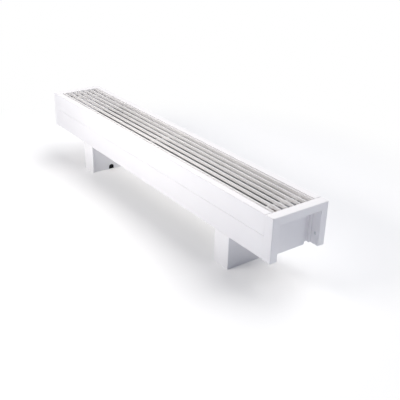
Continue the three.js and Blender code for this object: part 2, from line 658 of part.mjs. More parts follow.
// From below a valve inlet, along the casing, and down through the far foot.
function tailCurve(y) {
  const start = TUBE_Z - VALVE_STUB_LENGTH - GAP;
  const run = start - TAIL_BEND - TAIL_STRAIGHT;
  const dropX = FOOT_LEFT_X + PIPE_HOLE_X;
  const curve = new THREE.CurvePath();
  const at = (x, z) => new THREE.Vector3(x, y, z);
  const line = (a, b) => curve.add(new THREE.LineCurve3(a, b));
  const bend = (a, corner, b) => curve.add(new THREE.QuadraticBezierCurve3(a, corner, b));
  line(at(VALVE_X, start), at(VALVE_X, run + TAIL_BEND));
  bend(at(VALVE_X, run + TAIL_BEND), at(VALVE_X, run), at(VALVE_X + TAIL_BEND, run));
  line(at(VALVE_X + TAIL_BEND, run), at(dropX - TAIL_BEND, run));
  bend(at(dropX - TAIL_BEND, run), at(dropX, run), at(dropX, run - TAIL_BEND));
  line(at(dropX, run - TAIL_BEND), at(dropX, TAIL_END));
  return curve;
}

function addValves() {
  add('valve_body', valveBody(-TUBE_Y, PIN_R), NICKEL);
  add('valve_union_nut', unionNut(-TUBE_Y), NICKEL);
  const pinBack = VALVE_BACK - PIN_SHOWN;
  add('valve_pin', rod('x', PIN_R, HOLE_SIDES, -TUBE_Y, TUBE_Z, pinBack, pinBack + PIN_LENGTH), ZINC);
  add('valve_knob', valveKnob(), WHITE_PLASTIC);
  add('lockshield_body', lockshieldBody(), NICKEL);
  add('lockshield_union_nut', unionNut(TUBE_Y), NICKEL);
  add('lockshield_spindle', slottedSpindle(), BRASS);
  add('lockshield_cap', lockshieldCap(), WHITE_PLASTIC);
  add('air_vent_screw', ventScrew(), BRASS);
  add('pipe_tail_supply', bentTube(tailCurve(-TUBE_Y), TAIL_STEPS), COPPER);
  add('pipe_tail_return', bentTube(tailCurve(TUBE_Y), TAIL_STEPS), COPPER);
}

// ---------------------------------------------------------------- feet
// A foot is built with its closed side at x = 0 and its side plate towards +x.

function footCover() {
  const path = [
    [FOOT_WIDTH - FOOT_LIP, COVER_EDGE], [FOOT_WIDTH, COVER_EDGE],
    [FOOT_WIDTH, COVER_FACE], [0, COVER_FACE], [0, -COVER_FACE], [FOOT_WIDTH, -COVER_FACE],
    [FOOT_WIDTH, -COVER_EDGE], [FOOT_WIDTH - FOOT_LIP, -COVER_EDGE],
  ];
  return prism('z', folded(path), 0, BOTTOM - GAP);
}

// Arch with a flat foot, its outline in y,z.
function arch(width, height, y, bottom) {
  const r = width / 2;
  const points = [[y + r, bottom]];
  for (let i = 0; i <= ARCH_STEPS; i += 1) {
    const angle = (i / ARCH_STEPS) * Math.PI;
    points.push([y + r * Math.cos(angle), bottom + height - r + r * Math.sin(angle)]);
  }
  points.push([y - r, bottom]);
  return points;
}

function sidePlate(withNotch) {
  const half = COVER_EDGE - GAP;
  const path = [
    [SIDE_PLATE_X - SIDE_PLATE_FLANGE, -half], [SIDE_PLATE_X, -half],
    [SIDE_PLATE_X, half], [SIDE_PLATE_X - SIDE_PLATE_FLANGE, half],
  ];
  const plate = prism('z', folded(path), SIDE_PLATE_FLOOR_GAP, BOTTOM - 1);
  if (!withNotch) return plate;
  const outline = arch(NOTCH_WIDTH, NOTCH_HEIGHT + 1, NOTCH_Y, -1);
  return cut(plate, prism('x', outline, SIDE_PLATE_X - 2 * SHEET, SIDE_PLATE_X + 1));
}

function pipeGrommet() {
  const width = NOTCH_WIDTH - 2 * GAP;
  const front = SIDE_PLATE_X - GROMMET_SET_BACK;
  const back = SIDE_PLATE_X - SHEET - GAP;
  const foot = SIDE_PLATE_FLOOR_GAP;
  const plug = prism('x', arch(width, NOTCH_HEIGHT - foot - GAP, NOTCH_Y, foot), back - 1, front);
  const lip = prism(
    'x', arch(width + 2 * GROMMET_LIP, NOTCH_HEIGHT - foot + GROMMET_LIP, NOTCH_Y, foot), back - 2, back,
  );
  return join(plug, lip);
}

function pedestal() {
  const topZ = BRIDGE_Z - GAP;
  const base = box(BASE_X, BASE_EDGE, -BASE_DEPTH / 2, BASE_DEPTH / 2, 0, BASE_THICKNESS);
  const post = prism('z', folded([
    [POST_X + POST_WIDTH, POST_DEPTH / 2], [POST_X, POST_DEPTH / 2],
    [POST_X, -POST_DEPTH / 2], [POST_X + POST_WIDTH, -POST_DEPTH / 2],
  ], POST_SHEET), BASE_THICKNESS - 1, topZ - 1);
  const top = box(BASE_X, BASE_EDGE, -TOP_PLATE_EDGE, TOP_PLATE_EDGE, topZ - TOP_PLATE, topZ);
  const holes = [-1, 1].flatMap((side) => [
    rod('z', PIPE_HOLE_R, WIDE_HOLE_SIDES, PIPE_HOLE_X, side * TUBE_Y, -1, topZ + 1),
    rod('z', FLOOR_HOLE_R, HOLE_SIDES, BOLT_X, side * FLOOR_HOLE_Y, -1, BASE_THICKNESS + 1),
    rod('z', BOLT_R + GAP, HOLE_SIDES, BOLT_X, side * BOLT_Y, topZ - TOP_PLATE - 1, topZ + 1),
  ]);
  return cut(join(base, post, top), ...holes);
}

function footBridge() {
  const half = PANEL_INNER - GAP;
  const outline = folded([
    [BRIDGE_Z, 0], [BRIDGE_Z, FOOT_WIDTH], [BRIDGE_Z + BRIDGE_FLANGE, FOOT_WIDTH],
  ], -BRIDGE_SHEET);
  const above = BRIDGE_Z + 2 * BRIDGE_SHEET;
  const holes = [-1, 1].flatMap((side) => [
    rod('z', PIPE_HOLE_R, WIDE_HOLE_SIDES, PIPE_HOLE_X, side * TUBE_Y, BRIDGE_Z - 1, above),
    rod('z', BOLT_R + GAP, HOLE_SIDES, BOLT_X, side * BOLT_Y, BRIDGE_Z - 1, above),
  ]);
  return cut(prism('y', outline, -half, half), ...holes);
}

function footBolt(side) {
  const seat = BRIDGE_Z + BRIDGE_SHEET + GAP;
  const shank = rod('z', BOLT_R, HOLE_SIDES, BOLT_X, side * BOLT_Y, seat - BOLT_LENGTH, seat + 1);
  const head = rod('z', BOLT_HEAD_R, 6, BOLT_X, side * BOLT_Y, seat, seat + BOLT_HEAD_HEIGHT);
  return join(shank, head);
}

function addFeet() {
  const places = {
    left: (geometry) => geometry.clone().translate(FOOT_LEFT_X, 0, 0),
    right: (geometry) => geometry.clone().rotateZ(Math.PI).translate(FOOT_RIGHT_X, 0, 0),
  };
  for (const [side, place] of Object.entries(places)) {
    add(`foot_cover_${side}`, place(footCover()), WHITE_LACQUER);
    add(`foot_plate_${side}`, place(sidePlate(side === 'left')), WHITE_LACQUER);
    add(`foot_pedestal_${side}`, place(pedestal()), ZINC);
    add(`foot_bridge_${side}`, place(footBridge()), ZINC);
    add(`foot_bolt_${side}_1`, place(footBolt(-1)), ZINC);
    add(`foot_bolt_${side}_2`, place(footBolt(1)), ZINC);
  }
  add('pipe_grommet', places.left(pipeGrommet()), BLACK_RUBBER);
}

addCasing();
addGrille();
addExchanger();
addValves();
addFeet();

export default heater;
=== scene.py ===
"""Looks of a low floor-standing convector heater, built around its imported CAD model.

Metres, +Z up, origin on the floor under the middle of the casing. +X runs along the casing to its
near end and -Y is the front. Every piece is placed by the CAD node that it stands for.
"""

import json
import math

import bmesh
import bpy
from mathutils import Matrix, Vector

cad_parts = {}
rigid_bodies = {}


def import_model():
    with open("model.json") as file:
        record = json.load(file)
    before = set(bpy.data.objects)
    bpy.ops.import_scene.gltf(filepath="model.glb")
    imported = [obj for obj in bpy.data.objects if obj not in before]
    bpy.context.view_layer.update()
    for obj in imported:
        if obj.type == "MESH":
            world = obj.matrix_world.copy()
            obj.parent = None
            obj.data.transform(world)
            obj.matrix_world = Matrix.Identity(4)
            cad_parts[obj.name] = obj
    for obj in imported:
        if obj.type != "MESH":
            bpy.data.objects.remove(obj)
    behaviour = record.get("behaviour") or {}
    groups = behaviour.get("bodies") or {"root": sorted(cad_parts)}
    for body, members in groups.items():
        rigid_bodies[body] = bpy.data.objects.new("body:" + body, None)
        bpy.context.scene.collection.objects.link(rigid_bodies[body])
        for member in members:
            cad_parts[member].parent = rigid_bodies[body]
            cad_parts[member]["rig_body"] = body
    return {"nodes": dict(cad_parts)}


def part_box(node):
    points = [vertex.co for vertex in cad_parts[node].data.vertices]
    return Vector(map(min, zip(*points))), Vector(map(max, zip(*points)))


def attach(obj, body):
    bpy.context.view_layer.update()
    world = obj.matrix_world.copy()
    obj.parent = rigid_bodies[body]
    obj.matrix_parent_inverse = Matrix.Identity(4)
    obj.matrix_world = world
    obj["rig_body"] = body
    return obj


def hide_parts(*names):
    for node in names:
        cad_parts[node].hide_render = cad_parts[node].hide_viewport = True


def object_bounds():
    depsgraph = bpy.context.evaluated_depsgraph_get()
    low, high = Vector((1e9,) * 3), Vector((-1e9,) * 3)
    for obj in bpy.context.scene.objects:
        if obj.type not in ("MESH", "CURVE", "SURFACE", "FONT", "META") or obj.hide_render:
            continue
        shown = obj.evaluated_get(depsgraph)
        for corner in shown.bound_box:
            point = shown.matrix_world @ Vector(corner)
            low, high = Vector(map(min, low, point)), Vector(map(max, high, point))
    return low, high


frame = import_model()
cad_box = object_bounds()

MM = 0.001
TOUCH = 0.01 * MM            # points nearer than this count as one

# ---------------------------------------------------------------- sizes that the boxes don't give
SHEET = 1.5 * MM
PEDESTAL_SHEET = 4 * MM
BRIDGE_SHEET = 2 * MM
BEND_INNER = 0.5 * MM        # inside radius of a folded edge
CUT_EDGE = 0.2 * MM          # coated edge of a cut sheet
CREASE_WIDTH = 1.4 * MM      # the panels' groove, which is seen as a fine dark line
CREASE_RISE = 1.9 * MM       # how far it lies above the middle of the solid's groove
CREASE_DEEPER = 1.4 * MM     # how much deeper than the solid's groove it is
GROOVE_REACH = 4 * MM        # both sides of the grooved sheet lie within this of its face
GROOVE_BOTTOM = 0.1 * MM     # the groove's deepest points lie within this of its middle
MITRE_GAP = 0.15 * MM
PLATE_LAND = 5 * MM
PLATE_CHANNEL = 12 * MM
PLATE_CHANNEL_DEPTH = 9 * MM
PLATE_SHOULDER = 8 * MM
PLATE_BEND = 2 * MM
FRAME_FACE = 22 * MM
FRAME_DEPTH = 28 * MM
HEM_WIDTH = 14.3 * MM
HEM_CLEARANCE = 1.8 * MM
SLAT_EDGE = 0.35 * MM
CROSSBAR_EDGE = 0.6 * MM
SCREW_HEAD_R = 4.6 * MM
SCREW_HEAD_HEIGHT = 4.4 * MM
SCREW_SHANK_R = 1.9 * MM
SCREW_PITCH = 1.2 * MM
SCREW_RECESS_DEPTH = 1.9 * MM
SCREW_RECESS_HALF = 0.55 * MM
BOLT_HEAD = 4 * MM
BOLT_SHANK_R = 3 * MM
BOLT_PITCH = 1 * MM
NUT_CHAMFER = 1.6 * MM
TUBE_R = 7.5 * MM
TUBE_BORE_R = 6.5 * MM
FIN_THICKNESS = 0.35 * MM
FIN_PITCH = 6.3 * MM
FIN_CORNER = 3 * MM
COLLAR_R = 8.8 * MM
SOCKET_R = TUBE_R + 1.1 * MM
SOCKET_DEPTH = 6 * MM
TAIL_BEND = 18 * MM
SPINDLE_BORE = 13 * MM
PORT_R = 9 * MM              # of the valves' outlet, and of their inlet where it enters the barrel
INLET_R = 10 * MM
VENT_BOSS_R = 6 * MM
VENT_BORE_R = 2.6 * MM
PIN_R = 2 * MM
SPINDLE_R = 3.5 * MM
KNOB_BORE_R = 12.3 * MM
CAP_WALL = 2 * MM

# ---------------------------------------------------------------- camera
CAMERA_AZIMUTH = 53.70
CAMERA_ELEVATION = 25.64
CAMERA_ROLL = 1.46
CAMERA_PLACE = (1.5315, -0.9825, 0.8741)
CAMERA_LENS = 56.98
CAMERA_SENSOR = 36


# ---------------------------------------------------------------- node materials
def shader_material(name, color, roughness, metallic=0.0):
    """A Principled material and its tree, with the constants on the shader's own sockets."""
    material = bpy.data.materials.new(name)
    material.use_nodes = True
    tree = material.node_tree
    shader = tree.nodes["Principled BSDF"]
    shader.inputs["Base Color"].default_value = (*color, 1)
    shader.inputs["Roughness"].default_value = roughness
    shader.inputs["Metallic"].default_value = metallic
    return material, tree, shader


def coordinates(tree, stretch=(1, 1, 1)):
    """The piece's own coordinates, stretched along its axes."""
    place = tree.nodes.new("ShaderNodeTexCoord")
    mapping = tree.nodes.new("ShaderNodeMapping")
    mapping.inputs["Scale"].default_value = stretch
    tree.links.new(place.outputs["Object"], mapping.inputs["Vector"])
    return mapping.outputs["Vector"]


def noise(tree, vector, scale, detail=2.0, roughness=0.5):
    """A cloudy factor of 0 to 1 over the coordinates."""
    texture = tree.nodes.new("ShaderNodeTexNoise")
    texture.inputs["Scale"].default_value = scale
    texture.inputs["Detail"].default_value = detail
    texture.inputs["Roughness"].default_value = roughness
    tree.links.new(vector, texture.inputs["Vector"])
    return texture.outputs["Fac"]


def ramp(tree, factor, *stops):
    """Colours along a factor: each stop is (position, (r, g, b))."""
    node = tree.nodes.new("ShaderNodeValToRGB")
    elements = node.color_ramp.elements
    while len(elements) < len(stops):
        elements.new(0.5)
    for element, (position, color) in zip(elements, stops):
        element.position = position
        element.color = (*color, 1)
    tree.links.new(factor, node.inputs["Fac"])
    return node.outputs["Color"]


def spread(tree, factor, low, high):
    """A factor of 0 to 1 as a value between low and high."""
    node = tree.nodes.new("ShaderNodeMapRange")
    node.inputs["To Min"].default_value = low
    node.inputs["To Max"].default_value = high
    tree.links.new(factor, node.inputs["Value"])
    return node.outputs["Result"]


def bump(tree, shader, height, distance, strength=1.0):
    """Fine relief on the shader's normal, as deep as the distance."""
    node = tree.nodes.new("ShaderNodeBump")
    node.inputs["Distance"].default_value = distance
    node.inputs["Strength"].default_value = strength
    tree.links.new(height, node.inputs["Height"])
    tree.links.new(node.outputs["Normal"], shader.inputs["Normal"])


def shade(color, factor):
    """A colour made lighter or darker by a factor."""
    return tuple(channel * factor for channel in color)


def powder_coat(name, color, roughness):
    """Coated sheet: fine orange peel, a faint unevenness of tone and of gloss."""
    material, tree, shader = shader_material(name, color, roughness)
    shader.inputs["Specular IOR Level"].default_value = 0.4
    place = coordinates(tree)
    tone = noise(tree, place, 9, 3)
    gloss = noise(tree, place, 60, 2)
    peel = noise(tree, place, 950, 2, 0.4)
    color_out = ramp(tree, tone, (0.3, shade(color, 0.985)), (0.7, shade(color, 1.01)))
    rough_out = spread(tree, gloss, roughness - 0.05, roughness + 0.05)
    tree.links.new(color_out, shader.inputs["Base Color"])
    tree.links.new(rough_out, shader.inputs["Roughness"])
    bump(tree, shader, peel, 0.03 * MM, 0.5)
    return material


def drawn_metal(name, color, roughness, along=(1, 1, 1), tint=0.12, scale=180):
    """Bare metal with fine drawing marks along one direction and a faint tarnish."""
    material, tree, shader = shader_material(name, color, roughness, 1.0)
    marks = noise(tree, coordinates(tree, along), scale, 3, 0.6)
    tarnish = noise(tree, coordinates(tree), 25, 4)
    color_out = ramp(tree, tarnish, (0.3, shade(color, 1 - tint)), (0.65, color))
    rough_out = spread(tree, marks, roughness - 0.08, roughness + 0.1)
    tree.links.new(color_out, shader.inputs["Base Color"])
    tree.links.new(rough_out, shader.inputs["Roughness"])
    bump(tree, shader, marks, 0.04 * MM, 0.4)
    return material


def zinc_plate(name, color, roughness):
    """Galvanised steel: a flat crystalline spangle that changes tone and gloss."""
    material, tree, shader = shader_material(name, color, roughness, 1.0)
    cells = tree.nodes.new("ShaderNodeTexVoronoi")
    cells.inputs["Scale"].default_value = 140
    tree.links.new(coordinates(tree), cells.inputs["Vector"])
    grey = tree.nodes.new("ShaderNodeSeparateColor")
    tree.links.new(cells.outputs["Color"], grey.inputs["Color"])
    tone = grey.outputs["Red"]
    color_out = ramp(tree, tone, (0.0, shade(color, 0.86)), (1.0, shade(color, 1.05)))
    tree.links.new(color_out, shader.inputs["Base Color"])
    tree.links.new(spread(tree, tone, roughness - 0.1, roughness + 0.1), shader.inputs["Roughness"])
    bump(tree, shader, noise(tree, coordinates(tree), 400, 2), 0.02 * MM, 0.3)
    return material


def moulded(name, color, roughness, grain=600, depth=0.03 * MM, gloss=0.5):
    """Moulded plastic or rubber with a fine eroded grain."""
    material, tree, shader = shader_material(name, color, roughness)
    shader.inputs["Specular IOR Level"].default_value = gloss
    place = coordinates(tree)
    grains = noise(tree, place, grain, 3, 0.6)
    tone = noise(tree, place, 40, 2)
    color_out = ramp(tree, tone, (0.3, shade(color, 0.95)), (0.7, shade(color, 1.03)))
    rough_out = spread(tree, grains, roughness - 0.06, roughness + 0.08)
    tree.links.new(color_out, shader.inputs["Base Color"])
    tree.links.new(rough_out, shader.inputs["Roughness"])
    bump(tree, shader, grains, depth, 0.5)
    return material


FINISHES = {
    "white_lacquer": powder_coat("white_lacquer", (0.905, 0.889, 0.902), 0.42),
    "aluminium": drawn_metal("aluminium", (0.80, 0.81, 0.83), 0.34, (1, 0.04, 0.04)),
    "copper": drawn_metal("copper", (0.80, 0.42, 0.25), 0.28, (0.05, 1, 1), 0.3),
    "brass": drawn_metal("brass", (0.80, 0.62, 0.32), 0.26, (1, 0.1, 0.1)),
    "nickel": drawn_metal("nickel", (0.72, 0.71, 0.69), 0.24, (1, 0.1, 0.1)),
    "zinc": zinc_plate("zinc", (0.66, 0.68, 0.71), 0.42),
    "white_plastic": moulded("white_plastic", (0.84, 0.84, 0.82), 0.48),
    "black_rubber": moulded("black_rubber", (0.012, 0.012, 0.013), 0.85, 900, gloss=0.15),
}
# The same white lacquer in copies made darker or lighter to make up for more or less studio light
# on a piece: painted shade on the grille's slats, painted light on its crossbars and on the feet.
GRILLE_PAINTED_SHADE = powder_coat("grille_lacquer_painted_shade", (0.885, 0.87, 0.86), 0.38)
FOOT_PAINTED_LIGHT = powder_coat("foot_lacquer_painted_light", (0.97, 0.955, 0.96), 0.42)
CROSSBAR_PAINTED_LIGHT = powder_coat("crossbar_lacquer_painted_light", (0.97, 0.96, 0.955), 0.38)


# ---------------------------------------------------------------- mesh helpers
def extent(node):
    """The six numbers of a node's box: x0, x1, y0, y1, z0, z1."""
    low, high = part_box(node)
    return low.x, high.x, low.y, high.y, low.z, high.z


def to_object(name, bm):
    """A new object in the scene with the bmesh as its mesh."""
    mesh = bpy.data.meshes.new(name)
    bm.to_mesh(mesh)
    bm.free()
    piece = bpy.data.objects.new(name, mesh)
    bpy.context.scene.collection.objects.link(piece)
    return piece


def smooth(piece, angle=35):
    """Smooth shading, with edges over the angle kept sharp."""
    mesh = piece.data
    mesh.polygons.foreach_set("use_smooth", [True] * len(mesh.polygons))
    mesh.set_sharp_from_angle(angle=math.radians(angle))
    return piece


def dress(piece, node, slot, painted_light_copy=None):
    """Let the piece stand for a CAD node: it rides on the node's body and takes its slot's
    material, or the given copy of the white lacquer with painted light or painted shade.
    """
    piece.data.materials.clear()
    piece.data.materials.append(painted_light_copy or FINISHES[slot])
    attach(piece, frame["nodes"][node]["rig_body"])
    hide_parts(node)
    return piece


def clean_copy(node):
    """The node's solid as a bmesh of whole flat faces."""
    bm = bmesh.new()
    bm.from_mesh(frame["nodes"][node].data)
    bmesh.ops.remove_doubles(bm, verts=bm.verts, dist=TOUCH)
    bmesh.ops.dissolve_limit(bm, angle_limit=math.radians(0.5), verts=bm.verts, edges=bm.edges)
    bmesh.ops.recalc_face_normals(bm, faces=bm.faces)
    return bm


def width_at(face, edge):
    """How wide a face is across from the middle of one of its edges."""
    loop = next(item for item in face.loops if item.edge == edge)
    start = loop.vert.co
    along = (loop.link_loop_next.vert.co - start).normalized()
    inward = face.normal.cross(along)
    middle = (edge.verts[0].co + edge.verts[1].co) / 2
    best = math.inf
    for other in face.edges:
        if other == edge:
            continue
        a, b = ((vert.co - middle) for vert in other.verts)
        u, v = a.dot(along), b.dot(along)
        if u * v > 0 or abs(u - v) < 1e-9:
            continue
        reach = a.dot(inward) + (b.dot(inward) - a.dot(inward)) * u / (u - v)
        if reach > 1e-6:
            best = min(best, reach)
    return best


def flat_normals(piece):
    """Large flat faces keep their own normals, and the shading turns within the rounded edges."""
    weighted = piece.modifiers.new("normals", "WEIGHTED_NORMAL")
    weighted.mode = "FACE_AREA"
    weighted.weight = 100


def soften(piece, thickness=SHEET, inner=BEND_INNER, cut=CUT_EDGE, segments=3, angle=30):
    """Round a folded sheet as it is made: bends by their radii, cut edges by the coating."""
    bm = bmesh.new()
    bm.from_mesh(piece.data)
    layer = bm.edges.layers.float.new("bevel_weight_edge")
    outer = thickness + inner
    for edge in bm.edges:
        if len(edge.link_faces) != 2 or edge.calc_face_angle(0) < math.radians(angle):
            continue
        narrow = min(width_at(face, edge) for face in edge.link_faces)
        radius = cut
        if narrow > thickness + outer:
            radius = outer if edge.is_convex else inner
        edge[layer] = radius / outer
    for face in bm.faces:
        face.smooth = True
    bm.to_mesh(piece.data)
    bm.free()
    bevel = piece.modifiers.new("edges", "BEVEL")
    bevel.limit_method = "WEIGHT"
    bevel.width = outer
    bevel.segments = segments
    bevel.use_clamp_overlap = False
    flat_normals(piece)
    return piece


def sheet_piece(node, slot, name=None, painted_light_copy=None, **radii):
    """The node's folded sheet with its bends and edges rounded."""
    piece = to_object(name or f"{node}_sheet", clean_copy(node))
    soften(piece, **radii)
    return dress(piece, node, slot, painted_light_copy)


# For each axis: the places of the two coordinates across it and of the one along it.
AXES = {"x": (1, 2, 0), "y": (2, 0, 1), "z": (0, 1, 2)}


def at(axis, u, v, w):
    """A point with coordinates u, v across an axis and w along it."""
    point = [0, 0, 0]
    for place, value in zip(AXES[axis], (u, v, w)):
        point[place] = value
    return Vector(point)


def add_loft(bm, rings, closed=False):
    """Skin a list of rings of points; the end rings are capped unless the loft is closed."""
    rows = [[bm.verts.new(point) for point in ring] for ring in rings]
    count = len(rows[0])
    pairs = list(zip(rows, rows[1:])) + ([(rows[-1], rows[0])] if closed else [])
    for lower, upper in pairs:
        for i in range(count):
            k = (i + 1) % count
            bm.faces.new((lower[i], lower[k], upper[k], upper[i]))
    if not closed:
        bm.faces.new(rows[0][::-1])
        bm.faces.new(rows[-1])


def finish_mesh(bm):
    """Join points that meet, and turn every face outwards."""
    bmesh.ops.remove_doubles(bm, verts=bm.verts, dist=0.001 * MM)
    bmesh.ops.recalc_face_normals(bm, faces=bm.faces)
    return bm


def prism(axis, outline, start, end):
    """A closed outline across an axis, carried along it."""
    bm = bmesh.new()
    add_loft(bm, [[at(axis, u, v, w) for u, v in outline] for w in (start, end)])
    return finish_mesh(bm)


def circle(radius, sides, u=0.0, v=0.0, ribs=0, rib_depth=0.0):
    """Points around a circle, or around a ribbed one."""
    points = []
    for i in range(sides):
        turn = 2 * math.pi * (i + 0.5) / sides
        reach = radius - rib_depth * (0.5 - 0.5 * math.cos(ribs * turn)) if ribs else radius
        points.append((u + reach * math.cos(turn), v + reach * math.sin(turn)))
    return points


def lathe(axis, profile, u, v, sides=32, ribs=0, rib_depth=0.0, ribbed=()):
    """Turn a profile of (place along the axis, radius) points; ribbed lists the rings with ribs."""
    rings = []
    for i, (w, radius) in enumerate(profile):
        depth = rib_depth if i in ribbed else 0.0
        ring = circle(max(radius, 0.001 * MM), sides, u, v, ribs if depth else 0, depth)
        rings.append([at(axis, a, b, w) for a, b in ring])
    bm = bmesh.new()
    add_loft(bm, rings)
    return finish_mesh(bm)


def tube(axis, start, end, outer, inner, u, v, sides=32, chamfer=0.2 * MM):
    """A plain tube with its bore and lightly broken ends."""
    step = chamfer if end > start else -chamfer
    profile = [
        (start, inner), (start, outer - chamfer), (start + step, outer),
        (end - step, outer), (end, outer - chamfer), (end, inner),
    ]
    bm = bmesh.new()
    rings = [[at(axis, a, b, w) for a, b in circle(r, sides, u, v)] for w, r in profile]
    add_loft(bm, rings, closed=True)
    return finish_mesh(bm)


def bar(x0, x1, y0, y1, z0, z1, edge, segments=2):
    """A rectangular bar with rounded edges."""
    bm = bmesh.new()
    bmesh.ops.create_cube(bm, size=1)
    middle = Vector(((x0 + x1) / 2, (y0 + y1) / 2, (z0 + z1) / 2))
    bmesh.ops.scale(bm, vec=(x1 - x0, y1 - y0, z1 - z0), verts=bm.verts)
    bmesh.ops.translate(bm, vec=middle, verts=bm.verts)
    if edge:
        bmesh.ops.bevel(
            bm, geom=bm.edges[:], offset=edge, segments=segments, profile=0.5, affect="EDGES",
        )
    return bm


def combine(piece, tools, operation="DIFFERENCE"):
    """Cut, join or intersect a piece with tool meshes, and keep the result as its mesh."""
    helpers = [to_object(f"tool_{i}", tool) for i, tool in enumerate(tools)]
    for helper in helpers:
        modifier = piece.modifiers.new("tool", "BOOLEAN")
        modifier.operation = operation
        modifier.solver = "EXACT"
        modifier.object = helper
    bpy.context.view_layer.update()
    graph = bpy.context.evaluated_depsgraph_get()
    made = bpy.data.meshes.new_from_object(piece.evaluated_get(graph))
    piece.modifiers.clear()
    old = piece.data
    piece.data = made
    bpy.data.meshes.remove(old)
    for helper in helpers:
        mesh = helper.data
        bpy.data.objects.remove(helper)
        bpy.data.meshes.remove(mesh)
    return piece


def sweep(points, radius, bore, sides=24):
    """A tube along points in a level or an upright plane, with its bore.

    radius and bore may be a number or one for each point.
    """
    outer = radius if isinstance(radius, list) else [radius] * len(points)
    inner = bore if isinstance(bore, list) else [bore] * len(points)
    level = all(abs(point.z - points[0].z) < TOUCH for point in points)
    side = Vector((0, 0, 1) if level else (0, 1, 0))
    shells = {"outer": [], "inner": []}
    for i, point in enumerate(points):
        before = points[max(i - 1, 0)]
        after = points[min(i + 1, len(points) - 1)]
        across = side.cross((after - before).normalized()).normalized()
        for shell, reach in (("outer", outer[i]), ("inner", inner[i])):
            shells[shell].append([
                point + side * reach * math.cos(2 * math.pi * k / sides)
                + across * reach * math.sin(2 * math.pi * k / sides) for k in range(sides)
            ])
    bm = bmesh.new()
    add_loft(bm, shells["outer"] + shells["inner"][::-1], closed=True)
    return finish_mesh(bm)


def rounded(points, radii, steps=8):
    """Round the corners of a path: radii[i] belongs to points[i], 0 keeps it sharp."""
    path = []
    for i, point in enumerate(points):
        corner = Vector(point)
        if not radii[i]:
            path.append(corner)
            continue
        before = (Vector(points[i - 1]) - corner).normalized()
        after = (Vector(points[i + 1]) - corner).normalized()
        half = before.angle(after) / 2
        reach = radii[i] / math.tan(half)
        centre = corner + (before + after).normalized() * radii[i] / math.sin(half)
        start = corner + before * reach - centre
        end = corner + after * reach - centre
        for k in range(steps + 1):
            share = k / steps
            whole = start.angle(end)
            a = math.sin((1 - share) * whole) / math.sin(whole)
            b = math.sin(share * whole) / math.sin(whole)
            path.append(centre + start * a + end * b)
    return path


def folded(path, thickness=SHEET):
    """The outline of a folded sheet: a path on one face, the other face a thickness to its left."""
    offset = []
    for i, point in enumerate(path):
        before = (point - path[i - 1]).normalized() if i > 0 else None
        after = (path[i + 1] - point).normalized() if i < len(path) - 1 else None
        a = before or after
        b = after or before
        normal = Vector((-a.y - b.y, a.x + b.x)).normalized()
        stretch = normal.dot(Vector((-a.y, a.x)))
        offset.append(point + normal * thickness / stretch)
    return [tuple(point) for point in path + offset[::-1]]


# ---------------------------------------------------------------- casing
def casing_panel(node):
    """A panel whose pressed groove is closed to a narrow crease."""
    bm = clean_copy(node)
    _, _, y0, y1, z0, z1 = extent(node)
    out = -1 if node == "front_panel" else 1
    face = y0 if out < 0 else y1
    edges = sorted({
        round(vert.co.z, 5) for vert in bm.verts
        if abs(vert.co.y - face) < TOUCH and z0 + HEM_WIDTH < vert.co.z < z1 - HEM_WIDTH
    })
    lower, upper = edges[0], edges[-1]
    middle = (lower + upper) / 2
    closing = (upper - lower - CREASE_WIDTH) / 2
    for vert in bm.verts:
        in_groove = abs(vert.co.y - face) <= GROOVE_REACH and lower - MM < vert.co.z < upper + MM
        if not in_groove:
            continue
        above = vert.co.z - middle
        if abs(above) > GROOVE_BOTTOM:
            vert.co.z -= math.copysign(closing, above)
        elif abs(vert.co.y - face) < SHEET:
            vert.co.y -= out * CREASE_DEEPER
        vert.co.z += CREASE_RISE
    piece = to_object(f"{node}_sheet", bm)
    soften(piece)
    return dress(piece, node, "white_lacquer")


def mitred_frame(node):
    """An end frame as its three folded members, which meet at mitres with a hairline between."""
    _, _, _, y1, _, z1 = extent(node)
    bm = bmesh.new()
    for member in ("front", "top", "rear"):
        part = clean_copy(node)
        for side, stile in ((-1, "front"), (1, "rear")):
            inward = Vector((0, -side, 1)).normalized()
            corner = Vector((0, side * y1, z1))
            keep = inward if member == stile else -inward
            if member not in (stile, "top"):
                continue
            cut = bmesh.ops.bisect_plane(
                part, geom=part.verts[:] + part.edges[:] + part.faces[:], clear_outer=True,
                plane_co=corner - keep * MITRE_GAP / 2, plane_no=keep,
            )
            rim = [item for item in cut["geom_cut"] if isinstance(item, bmesh.types.BMEdge)]
            bmesh.ops.edgeloop_fill(part, edges=rim)
        bmesh.ops.recalc_face_normals(part, faces=part.faces)
        mesh = bpy.data.meshes.new("member")
        part.to_mesh(mesh)
        part.free()
        bm.from_mesh(mesh)
        bpy.data.meshes.remove(mesh)
    piece = to_object(f"{node}_sheet", bm)
    soften(piece)
    return dress(piece, node, "white_lacquer")


